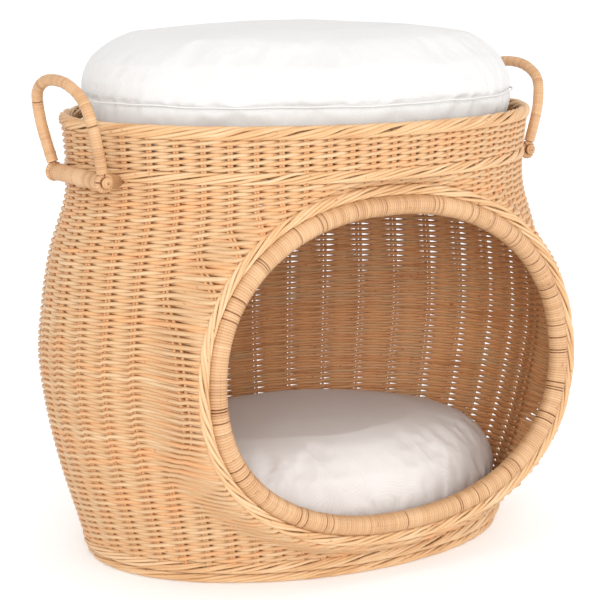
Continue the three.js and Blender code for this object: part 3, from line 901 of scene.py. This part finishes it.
def inflate(piece, cap, limit):
    """Remeshes a closed piece and blows it up as cloth, moving no point further than cap."""
    remesh = piece.modifiers.new("Remesh", "REMESH")
    remesh.mode = "VOXEL"
    remesh.voxel_size = INFLATION_VOXEL
    bake_modifiers(piece)
    start = vertex_array(piece.data)
    cloth_modifier = piece.modifiers.new("Cloth", "CLOTH")
    settings = cloth_modifier.settings
    settings.quality = 5
    settings.use_pressure = True
    settings.uniform_pressure_force = INFLATION_PRESSURE
    settings.effector_weights.gravity = 0
    settings.tension_stiffness = 12
    settings.compression_stiffness = 12
    settings.shear_stiffness = 6
    settings.bending_stiffness = 0.6
    scene = bpy.context.scene
    for step in range(1, INFLATION_STEPS + 1):
        scene.frame_set(step)
    bake_modifiers(piece)
    scene.frame_set(1)
    end = vertex_array(piece.data)
    move = end - start
    size = np.linalg.norm(move, axis=-1, keepdims=True)
    move *= np.minimum(1, cap / np.maximum(size, 1e-9))
    placed = limit(start + move)
    piece.data.vertices.foreach_set("co", placed.astype(np.float32).ravel())
    piece.data.update()


def soften(piece):
    """Adds one subdivision, baked in."""
    subdivide = piece.modifiers.new("Subdivision", "SUBSURF")
    subdivide.levels = 1
    subdivide.render_levels = 1
    bake_modifiers(piece)
    piece.data.shade_smooth()


def value_noise(points, scale, seed):
    """Smooth repeatable noise from a few dozen random waves."""
    waves = np.random.default_rng(seed)
    total = np.zeros(len(points))
    count = 28
    for _ in range(count):
        direction = unit(waves.normal(size=3)) * scale * waves.uniform(0.6, 1.6)
        total += np.sin(points @ direction + waves.uniform(0, 2 * np.pi))
    return total / math.sqrt(count / 2)


def inside_box(half_width, bottom, top):
    """A limit that keeps points between two heights and inside the box of an oval."""
    reach = np.array([half_width, half_width * DEPTH_RATIO])
    return lambda points: np.clip(points, (*-reach, bottom), (*reach, top))


def sewn(points, outward, angle, side, seam, depth, crease, seed):
    """Points drawn in by depth at the seam's height, puckered, with creases above and below."""
    near = np.exp(-((points[:, 2] - seam) / SEAM_WIDTH) ** 2) * side
    pucker = 1 + 0.35 * np.sin(angle * 61 + 3 * np.sin(angle * 7)) + 0.3 * np.sin(angle * 37 + 1)
    gather = np.exp(-np.abs(points[:, 2] - seam) / GATHER_REACH) * side
    ripple = np.sin(angle * 47 + 2.2 * np.sin(angle * 5 + seed)) * np.sin(angle * 13 + seed)
    return points + outward * (gather * ripple * crease - near * depth * pucker)[:, None]


def cushion(name, profile, material, seam, depth, crease, limit, seed):
    """An inflated oval cushion, drawn in by depth along a seam round its side."""
    piece = oval_shell(name, profile)
    inflate(piece, CUSHION_CAP, limit)
    soften(piece)
    points = vertex_array(piece.data)
    oval = np.hypot(points[:, 0], points[:, 1] / DEPTH_RATIO)
    outward = unit(points * (1, 1 / DEPTH_RATIO**2, 0))
    angle = np.arctan2(points[:, 1] / DEPTH_RATIO, points[:, 0])
    half = profile[:, 0].max()
    side = beyond(oval, 0.72 * half, 0.2 * half)
    points = sewn(points, outward, angle, side, seam, depth, crease, seed)
    dimples = sum(value_noise(points, waves, seed + k) * height
                  for k, (waves, height) in enumerate(DIMPLES))
    points[:, 2] += dimples * beyond(points[:, 2], profile[:, 1].mean(), 20 * MM)
    waves, height = SIDE_WAVES
    points += outward * (value_noise(points, waves, seed + 2) * height * side)[:, None]
    piece.data.vertices.foreach_set("co", limit(points).astype(np.float32).ravel())
    piece.data.materials.append(material)
    piece.data.update()
    return piece


def piping(name, z, half_width, radius, material):
    """A thin corded edge that follows the cushion's side."""
    strands = Strands(name, sides=8, strips=4)
    samples = 420
    turn = np.arange(samples) * 2 * np.pi / samples
    waver = 0.5 * MM * np.sin(turn * 9 + 1) + 0.3 * MM * np.sin(turn * 23)
    strands.add(oval_path(half_width, turn, z + waver), radius, 0.5, closed=True)
    return strands.build(material)


# ---------- assembly ----------
def settle(piece, body, slot, *nodes):
    """Attaches a piece to the body it rides on and hides the CAD parts it stands in for; slot is
    not used.
    """
    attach(piece, body)
    if nodes:
        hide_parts(*nodes)
    return piece


def build_basket():
    weave = rattan("weave_core", [(0.0, (0.40, 0.165, 0.06)), (0.35, (0.70, 0.36, 0.16)),
                                  (0.68, (0.60, 0.37, 0.19)), (1.0, (0.69, 0.48, 0.28))])
    ropes = rattan("rope_rods", [(0.0, (0.40, 0.175, 0.07)), (0.5, (0.65, 0.39, 0.19)),
                                 (1.0, (0.77, 0.56, 0.35))])
    peel = rattan("peel", [(0.0, (0.22, 0.085, 0.03)), (0.5, (0.55, 0.31, 0.15)),
                           (1.0, (0.71, 0.47, 0.27))],
                  roughness=0.42, fibre=(9, 60, 1), speckle=0.2)
    cane = rattan("cane", [(0.0, (0.40, 0.21, 0.09)), (0.5, (0.66, 0.40, 0.20)),
                           (1.0, (0.74, 0.51, 0.30))], roughness=0.45)
    for piece in twined_rounds("wall_weave", LOWER_WALE[1], NECK_WALE[0], BODY_PITCH, weave,
                               body_slackness, pieces=3):
        settle(piece, "basket", "woven_rattan", "body_wall")
    for piece in twined_rounds("collar_weave", NECK_WALE[1], RIM_BOTTOM, COLLAR_PITCH, weave,
                               collar_slackness):
        settle(piece, "basket", "woven_rattan", "collar_wall")
    settle(build_stakes(weave), "basket", "woven_rattan", "body_wall", "collar_wall")
    middle = WALL_THICKNESS / 2
    for name, z, inset, shape, node in (
            ("neck_rope", sum(NECK_WALE) / 2, middle, WALE_ROPE, "neck_wale"),
            ("lower_rope", sum(LOWER_WALE) / 2, middle, WALE_ROPE, "lower_wale"),
            ("rim_rope", RIM_ROPE_Z, middle, RIM_ROPE, "rim_border"),
            ("foot_rope", FOOT_ROPE_Z, FOOT_ROPE_INSET, FOOT_ROPE, "foot_border")):
        settle(ring_rope(name, z, inset, *shape, ropes), "basket", "rope_border", node)
    settle(build_hoop_wrap(peel), "basket", "rattan_peel",
           *[f"opening_hoop_wrap_{k}" for k in range(1, 5)], "opening_hoop_core")
    settle(build_braid(ropes), "basket", "rope_border", "opening_braid")
    low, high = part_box("base_floor")
    base = woven_oval("base_mat", (low[2] + high[2]) / 2, high[0], high[2] - low[2], weave)
    settle(base, "basket", "woven_rattan", "base_floor")
    low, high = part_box("shelf_panel")
    shelf = woven_oval("shelf_mat", (low[2] + high[2]) / 2, high[0], high[2] - low[2], weave)
    settle(shelf, "basket", "woven_rattan", "shelf_panel")
    for name, (side, middle, lean) in HANDLES.items():
        settle(build_handle(name, side, middle, lean, peel), f"{name}_handle", "rattan_peel",
               f"{name}_handle_loop", f"{name}_handle_wrap")
        settle(build_lashing(name, side, middle, peel), "basket", "rattan_peel",
               f"{name}_handle_lashing")
        settle(build_bar_ends(name, side, middle, peel), "basket", "rattan_peel")
        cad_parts[f"{name}_handle_bar"].data.materials[0] = cane
    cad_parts["shelf_hoop"].data.materials[0] = cane


def build_top_cushion():
    white = cloth("white_cloth", (0.68, 0.67, 0.66), (0.59, 0.575, 0.56), 0.8 * MM)
    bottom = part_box("top_cushion_bottom_panel")[0][2]
    half, seam = 230 * MM, 447 * MM
    profile = np.array([
        [0, bottom + 2 * MM], [half * 0.96, bottom + 2 * MM], [half, bottom + 12 * MM],
        [half, seam], [half + 1 * MM, seam + 15 * MM], [half - 9 * MM, seam + 34 * MM],
        [half - 44 * MM, seam + 50 * MM], [half - 113 * MM, seam + 58 * MM], [0, seam + 60 * MM],
    ])
    limit = inside_box(half + 7 * MM, bottom, seam + 66 * MM)
    piece = cushion("top_cushion", profile, white, seam, 1.8 * MM, 0.7 * MM, limit, seed=3)
    settle(piece, "top_cushion", "white_cotton", "top_cushion_filling", "top_cushion_top_panel",
           "top_cushion_bottom_panel", "top_cushion_side_band")
    edge = piping("top_cushion_cord", seam, half + 1.4 * MM, 0.9 * MM, white)
    settle(edge, "top_cushion", "white_cotton", "top_cushion_piping")


def build_cabin_cushion():
    linen = cloth("linen_cloth", (0.71, 0.665, 0.635), (0.60, 0.55, 0.505), 1.5 * MM, 0.6)
    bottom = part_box("cabin_cushion_bottom_panel")[0][2]
    half, seam = 224 * MM, 48 * MM
    profile = np.array([
        [0, bottom + 1 * MM], [half - 16 * MM, bottom + 1 * MM], [half - 5 * MM, seam - 15 * MM],
        [half, seam], [half, seam + 19 * MM], [half - 8 * MM, seam + 40 * MM],
        [half - 32 * MM, seam + 57 * MM], [half - 93 * MM, seam + 67 * MM], [0, seam + 69 * MM],
    ])
    limit = inside_box(half + 5 * MM, bottom, seam + 74 * MM)
    piece = cushion("cabin_cushion", profile, linen, seam, 2.2 * MM, 1.5 * MM, limit, seed=8)
    settle(piece, "cabin_cushion", "pale_linen", "cabin_cushion_filling", "cabin_cushion_top_panel",
           "cabin_cushion_bottom_panel")


def build_camera():
    azimuth, elevation = CAMERA_AZIMUTH, CAMERA_ELEVATION
    level = math.cos(elevation)
    back = Vector((-math.sin(azimuth) * level, -math.cos(azimuth) * level, math.sin(elevation)))
    right = Vector((math.cos(azimuth), -math.sin(azimuth), 0))
    target = right * CAMERA_TARGET[0] + Vector((0, 0, CAMERA_TARGET[1]))
    data = bpy.data.cameras.new("camera")
    data.sensor_width = SENSOR_WIDTH
    data.lens = CAMERA_LENS
    camera = bpy.data.objects.new("camera", data)
    bpy.context.collection.objects.link(camera)
    up = back.cross(right)
    turn = Matrix((right, up, back)).transposed()
    roll = Matrix.Rotation(CAMERA_ROLL, 4, "Z")
    camera.matrix_world = Matrix.Translation(target + back * CAMERA_DISTANCE) @ turn.to_4x4() @ roll
    bpy.context.scene.camera = camera


def add_light(name, place, size, power):
    """A round lamp that shines on the basket."""
    data = bpy.data.lights.new(name, "AREA")
    data.shape = "DISK"
    data.size = size
    data.energy = power
    light = bpy.data.objects.new(name, data)
    light.location = place
    aim = Vector(LIGHT_TARGET) - Vector(place)
    light.rotation_euler = aim.to_track_quat("-Z", "Y").to_euler()
    bpy.context.collection.objects.link(light)


def build_studio():
    world = bpy.data.worlds.new("studio")
    world.use_nodes = True
    background = world.node_tree.nodes["Background"]
    background.inputs["Color"].default_value = (1, 1, 1, 1)
    background.inputs["Strength"].default_value = WORLD_STRENGTH
    bpy.context.scene.world = world
    add_light("key", *KEY_LIGHT)
    add_light("fill", *FILL_LIGHT)
    floor_shader = Shader("floor_paper", 0.9, 0.2)
    inputs = floor_shader.surface.inputs
    inputs["Base Color"].default_value = (FLOOR_GREY, FLOOR_GREY, FLOOR_GREY, 1)
    inputs["Emission Color"].default_value = (1, 1, 1, 1)
    inputs["Emission Strength"].default_value = FLOOR_GLOW
    mesh = bpy.data.meshes.new("floor")
    corners = np.array([(-1, -1, 0), (1, -1, 0), (1, 1, 0), (-1, 1, 0)]) * FLOOR_REACH
    mesh.from_pydata(corners.tolist(), [], [(0, 1, 2, 3)])
    mesh.materials.append(floor_shader.material)
    floor = bpy.data.objects.new("floor", mesh)
    bpy.context.collection.objects.link(floor)
    bpy.context.scene.view_settings.view_transform = "Standard"


build_camera()
build_studio()
build_basket()
build_top_cushion()
build_cabin_cushion()
